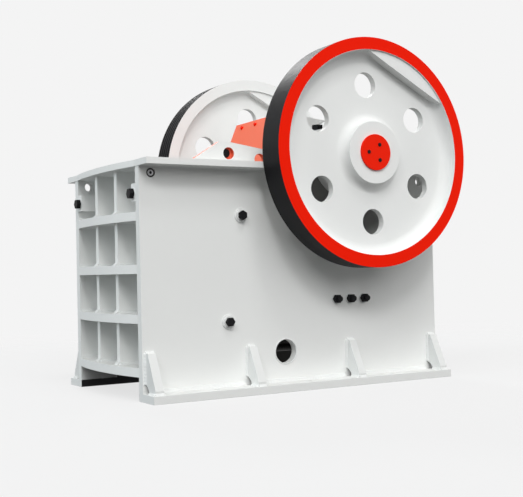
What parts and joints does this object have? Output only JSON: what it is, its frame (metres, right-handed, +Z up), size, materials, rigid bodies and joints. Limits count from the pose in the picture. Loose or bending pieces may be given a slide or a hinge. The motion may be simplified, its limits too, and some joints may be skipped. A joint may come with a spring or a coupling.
{
  "type": "jaw crusher",
  "caption": "Single-toggle jaw crusher: welded box frame with a ribbed front, swing jaw on an eccentric shaft and a dished flywheel on each side.",
  "frame": {"origin": "bottom centre of the machine's box, on the level that its feet rest on", "axes": "+X from the ribbed front wall to the rear, +Y across to the belt pulley side, +Z up"},
  "size_m": [2.409, 1.83, 2.35],
  "materials": {
    "white_paint": "satin paint",
    "flywheel_paint": "satin paint, red rim face and black tread",
    "red_paint": "gloss paint",
    "guard_paint": "satin paint",
    "manganese_steel": "as cast",
    "pitman_paint": "satin paint",
    "machined_steel": "turned"
  },
  "bodies": {
    "frame": {"side_plate_right": "white_paint", "side_plate_left": "white_paint", "base_flange_right": "white_paint", "base_flange_left": "white_paint", "top_flange_right": "white_paint", "top_flange_left": "white_paint", "gussets_right": "white_paint", "gussets_left": "white_paint", "front_wall": "white_paint", "front_rib_top": "white_paint", "front_rib_upper": "white_paint", "front_rib_middle": "white_paint", "front_rib_lower": "white_paint", "front_rib_bottom": "white_paint", "front_stiffeners_right": "white_paint", "front_stiffeners_left": "white_paint", "clamp_block_right": "white_paint", "clamp_block_left": "white_paint", "rear_wall": "white_paint", "rear_rib_top": "white_paint", "rear_ribs": "white_paint", "rear_stiffeners": "white_paint", "bearing_housing_right": "white_paint", "bearing_housing_left": "white_paint", "bearing_cap_right": "white_paint", "bearing_cap_left": "white_paint", "feed_guard_right": "white_paint", "feed_guard_left": "white_paint", "toggle_beam": "white_paint", "spring_bracket": "white_paint", "fixed_jaw_plate": "manganese_steel", "cheek_plate_right": "manganese_steel", "cheek_plate_left": "manganese_steel", "toggle_plate": "machined_steel", "tension_rod": "machined_steel", "tension_nut": "machined_steel", "spring_seat": "machined_steel", "tension_spring": "machined_steel"},
    "rotor": {"eccentric_shaft": "machined_steel", "flywheel_right": "flywheel_paint", "flywheel_left": "flywheel_paint", "shaft_cap_right": "red_paint", "shaft_cap_left": "red_paint"},
    "swing_jaw": {"pitman": "pitman_paint", "moving_jaw_plate": "manganese_steel", "pitman_guard": "guard_paint", "jaw_wedge": "manganese_steel", "tension_pin": "machined_steel"}
  },
  "joints": [
    {"name": "shaft_spin", "type": "hinge", "parent": "frame", "child": "rotor", "pos_m": [0.4295, 0, 1.575], "axis": [0, 1, 0], "continuous": true},
    {"name": "jaw_swing", "type": "hinge", "parent": "rotor", "child": "swing_jaw", "pos_m": [0.42257, 0, 1.56169], "axis": [0, 1, 0], "continuous": true}
  ],
  "couplings": [
    {"joint": "jaw_swing", "follows": "shaft_spin", "ratio": -1}
  ]
}
